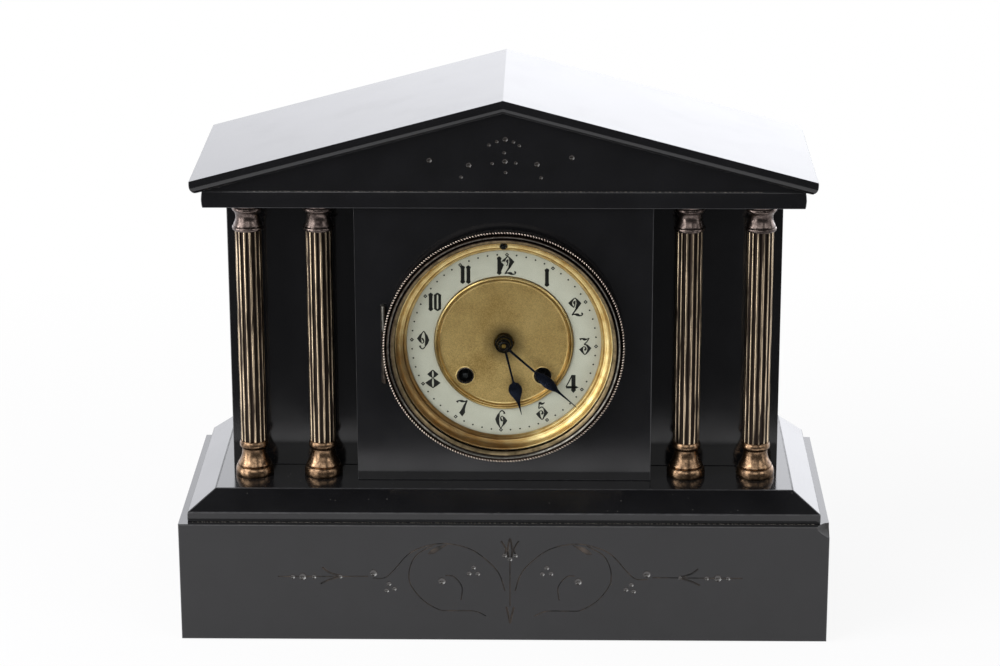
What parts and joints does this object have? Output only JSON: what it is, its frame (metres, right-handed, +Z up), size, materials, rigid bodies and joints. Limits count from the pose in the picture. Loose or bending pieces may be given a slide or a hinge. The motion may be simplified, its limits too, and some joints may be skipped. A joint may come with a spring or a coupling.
{
  "type": "mantel clock",
  "caption": "Temple-form mantel clock: black stone case with pediment, fluted columns, hinged glazed bezel, enamel and brass dial, striking movement and pendulum.",
  "frame": {"origin": "bottom centre of the base, on the surface that the clock stands on", "axes": "+X to the right along the base's length, -Y out of the dial's face, +Z up"},
  "size_m": [0.4098, 0.167, 0.3468],
  "materials": {
    "black_stone": "polished black slate or marble",
    "column_gilt": "worn gilt bronze",
    "column_bronze": "dark patinated bronze, ridges worn bright",
    "gilt": "gilt brass",
    "brass": "matt brass",
    "enamel": "ivory-grey enamel on metal",
    "glass": "clear flat glass",
    "blued_steel": "blued steel",
    "steel": "bright steel",
    "bell_metal": "cast bell metal"
  },
  "bodies": {
    "case": {"plinth_front": "black_stone", "plinth_back": "black_stone", "plinth_left": "black_stone", "plinth_right": "black_stone", "step_slab": "black_stone", "front_wall": "black_stone", "dial_panel": "black_stone", "side_wall_left": "black_stone", "side_wall_right": "black_stone", "back_panel": "black_stone", "entablature": "black_stone", "tympanum": "black_stone", "rear_gable": "black_stone", "roof_left": "black_stone", "roof_right": "black_stone", "column_1_base": "column_gilt", "column_1_shaft": "column_bronze", "column_1_capital": "column_bronze", "column_2_base": "column_gilt", "column_2_shaft": "column_bronze", "column_2_capital": "column_bronze", "column_3_base": "column_gilt", "column_3_shaft": "column_bronze", "column_3_capital": "column_bronze", "column_4_base": "column_gilt", "column_4_shaft": "column_bronze", "column_4_capital": "column_bronze", "bezel_hinge": "gilt", "dial_pan": "gilt", "chapter_ring": "enamel", "dial_centre": "brass", "front_plate": "brass", "back_plate": "brass", "bell_stand": "steel", "bell": "bell_metal", "rear_ring": "brass"},
    "bezel_door": {"bezel": "gilt", "bezel_glass": "glass"},
    "minute_work": {"minute_hand": "blued_steel", "hand_nut": "brass", "cannon_pinion": "steel"},
    "hour_work": {"hour_hand": "blued_steel", "hour_wheel": "brass"},
    "minute_wheel": {"minute_wheel": "brass"},
    "centre_wheel": {"centre_wheel": "brass"},
    "intermediate_wheel": {"intermediate_wheel": "brass"},
    "going_barrel": {"going_barrel": "brass"},
    "third_wheel": {"third_wheel": "brass"},
    "escape_wheel": {"escape_wheel": "brass"},
    "going_winding_arbor": {"going_winding_arbor": "steel"},
    "strike_winding_arbor": {"strike_winding_arbor": "steel"},
    "pin_wheel": {"pin_wheel": "brass"},
    "strike_barrel": {"strike_barrel": "brass"},
    "fly": {"fly": "brass"},
    "pendulum": {"pendulum_rod": "brass", "pendulum_bob": "brass"},
    "pallet_anchor": {"pallet_anchor": "steel"},
    "hammer": {"hammer": "steel"},
    "regulator": {"regulator_arbor": "steel"},
    "rear_door": {"rear_door": "brass"}
  },
  "joints": [
    {"name": "bezel_swing", "type": "hinge", "parent": "case", "child": "bezel_door", "pos_m": [-0.0752, -0.0485, 0.1862], "axis": [0, 0, -1], "range_deg": [0, 92]},
    {"name": "minute_turn", "type": "hinge", "parent": "case", "child": "minute_work", "pos_m": [0, -0.05, 0.1862], "axis": [0, 1, 0], "continuous": true},
    {"name": "hour_turn", "type": "hinge", "parent": "case", "child": "hour_work", "pos_m": [0, -0.05, 0.1862], "axis": [0, 1, 0], "continuous": true},
    {"name": "minute_wheel_turn", "type": "hinge", "parent": "case", "child": "minute_wheel", "pos_m": [-0.01255, -0.034, 0.19875], "axis": [0, 1, 0], "continuous": true},
    {"name": "centre_turn", "type": "hinge", "parent": "case", "child": "centre_wheel", "pos_m": [0, 0, 0.1862], "axis": [0, 1, 0], "continuous": true},
    {"name": "intermediate_turn", "type": "hinge", "parent": "case", "child": "intermediate_wheel", "pos_m": [0.0198, 0, 0.18996], "axis": [0, 1, 0], "continuous": true},
    {"name": "going_barrel_turn", "type": "hinge", "parent": "case", "child": "going_barrel", "pos_m": [0.0244, 0, 0.1643], "axis": [0, 1, 0], "continuous": true},
    {"name": "third_turn", "type": "hinge", "parent": "case", "child": "third_wheel", "pos_m": [-0.01051, 0, 0.20339], "axis": [0, 1, 0], "continuous": true},
    {"name": "escape_turn", "type": "hinge", "parent": "case", "child": "escape_wheel", "pos_m": [0, 0, 0.2177], "axis": [0, 1, 0], "continuous": true},
    {"name": "going_winding", "type": "hinge", "parent": "case", "child": "going_winding_arbor", "pos_m": [0.0244, 0, 0.1643], "axis": [0, 1, 0], "continuous": true},
    {"name": "strike_winding", "type": "hinge", "parent": "case", "child": "strike_winding_arbor", "pos_m": [-0.0244, 0, 0.1643], "axis": [0, 1, 0], "continuous": true},
    {"name": "pin_wheel_turn", "type": "hinge", "parent": "case", "child": "pin_wheel", "pos_m": [-0.02893, 0, 0.18997], "axis": [0, 1, 0], "continuous": true},
    {"name": "strike_barrel_turn", "type": "hinge", "parent": "case", "child": "strike_barrel", "pos_m": [-0.0244, 0, 0.1643], "axis": [0, 1, 0], "continuous": true},
    {"name": "fly_turn", "type": "hinge", "parent": "case", "child": "fly", "pos_m": [-0.02683, 0, 0.21001], "axis": [0, 1, 0], "continuous": true},
    {"name": "pendulum_swing", "type": "hinge", "parent": "case", "child": "pendulum", "pos_m": [0, 0.0252, 0.2362], "axis": [0, 1, 0], "range_deg": [-4, 4]},
    {"name": "anchor_swing", "type": "hinge", "parent": "case", "child": "pallet_anchor", "pos_m": [0, 0, 0.2362], "axis": [0, 1, 0], "range_deg": [-4, 4]},
    {"name": "hammer_lift", "type": "hinge", "parent": "case", "child": "hammer", "pos_m": [-0.04002, 0, 0.21421], "axis": [0, 1, 0], "range_deg": [0, 14]},
    {"name": "regulator_turn", "type": "hinge", "parent": "case", "child": "regulator", "pos_m": [0, 0, 0.25068], "axis": [0, 1, 0], "range_deg": [-360, 360]},
    {"name": "rear_door_swing", "type": "hinge", "parent": "case", "child": "rear_door", "pos_m": [0.0658, 0.0798, 0.1862], "axis": [0, 0, -1], "range_deg": [0, 150]}
  ],
  "couplings": [
    {"joint": "hour_turn", "follows": "minute_turn", "ratio": 0.083333},
    {"joint": "minute_wheel_turn", "follows": "minute_turn", "ratio": -0.33333},
    {"joint": "intermediate_turn", "follows": "centre_turn", "ratio": -0.25},
    {"joint": "going_barrel_turn", "follows": "centre_turn", "ratio": 0.05},
    {"joint": "third_turn", "follows": "centre_turn", "ratio": -4},
    {"joint": "escape_turn", "follows": "centre_turn", "ratio": 16},
    {"joint": "strike_barrel_turn", "follows": "pin_wheel_turn", "ratio": -0.2},
    {"joint": "fly_turn", "follows": "pin_wheel_turn", "ratio": -4},
    {"joint": "anchor_swing", "follows": "pendulum_swing", "ratio": 1}
  ]
}
